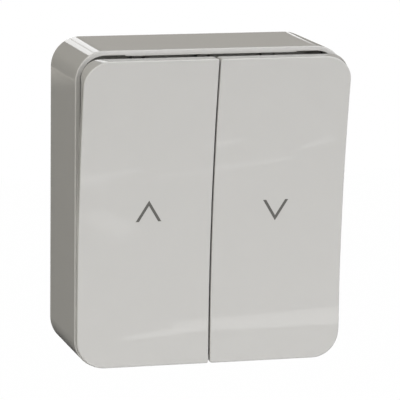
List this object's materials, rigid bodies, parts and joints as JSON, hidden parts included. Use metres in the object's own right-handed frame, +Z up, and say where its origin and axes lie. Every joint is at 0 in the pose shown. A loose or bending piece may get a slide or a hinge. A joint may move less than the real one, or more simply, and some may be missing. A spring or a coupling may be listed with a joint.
{
  "type": "wall switch",
  "caption": "Surface-mounted shutter wall switch: a deep one-piece housing with two tall concave rockers that stand out at the top and spring back when pressed.",
  "frame": {"origin": "centre of the housing's flat back face, on the wall", "axes": "+Z up, +X to the right seen from the front, the front looks towards -Y"},
  "size_m": [0.074, 0.039, 0.0868],
  "materials": {
    "grey_plastic": "smooth gloss, light warm grey",
    "inner_plastic": "matt, light grey",
    "cradle_plastic": "matt, natural white",
    "base_plastic": "matt, dark grey",
    "plunger_plastic": "matt, red",
    "steel": "zinc plated",
    "brass": "stamped",
    "silver": "silver rivet",
    "rubber": "soft, light grey"
  },
  "bodies": {
    "base": {"housing": "grey_plastic", "cover_frame": "inner_plastic", "mechanism_base": "base_plastic", "mechanism_frame": "inner_plastic", "mechanism_screws": "steel", "common_rail": "brass", "common_clamp": "brass", "terminal_screws": "steel", "left_pivot_pin": "steel", "left_return_spring": "steel", "left_fixed_tips": "silver", "left_strip": "brass", "left_clamp": "brass", "left_grommet": "rubber", "right_pivot_pin": "steel", "right_return_spring": "steel", "right_fixed_tips": "silver", "right_strip": "brass", "right_clamp": "brass", "right_grommet": "rubber"},
    "left_rocker": {"left_rocker": "grey_plastic", "left_cradle": "cradle_plastic"},
    "left_plunger": {"left_plunger": "plunger_plastic", "left_contact_bridge": "brass", "left_moving_tips": "silver"},
    "right_rocker": {"right_rocker": "grey_plastic", "right_cradle": "cradle_plastic"},
    "right_plunger": {"right_plunger": "plunger_plastic", "right_contact_bridge": "brass", "right_moving_tips": "silver"}
  },
  "joints": [
    {"name": "left_rocker_tilt", "type": "hinge", "parent": "base", "child": "left_rocker", "pos_m": [0, -0.0245, 0], "axis": [-1, 0, 0], "range_deg": [0, 5.6], "stiffness_Nm_per_rad": 0.6, "springref_deg": -5.73},
    {"name": "left_plunger_slide", "type": "slide", "parent": "base", "child": "left_plunger", "axis": [0, 1, 0], "range_m": [0, 0.0012], "deforming": ["left_return_spring"]},
    {"name": "right_rocker_tilt", "type": "hinge", "parent": "base", "child": "right_rocker", "pos_m": [0, -0.0245, 0], "axis": [-1, 0, 0], "range_deg": [0, 5.6], "stiffness_Nm_per_rad": 0.6, "springref_deg": -5.73},
    {"name": "right_plunger_slide", "type": "slide", "parent": "base", "child": "right_plunger", "axis": [0, 1, 0], "range_m": [0, 0.0012], "deforming": ["right_return_spring"]}
  ],
  "couplings": [
    {"joint": "left_plunger_slide", "follows": "left_rocker_tilt", "m_per_rad": 0.012},
    {"joint": "right_plunger_slide", "follows": "right_rocker_tilt", "m_per_rad": 0.012}
  ]
}
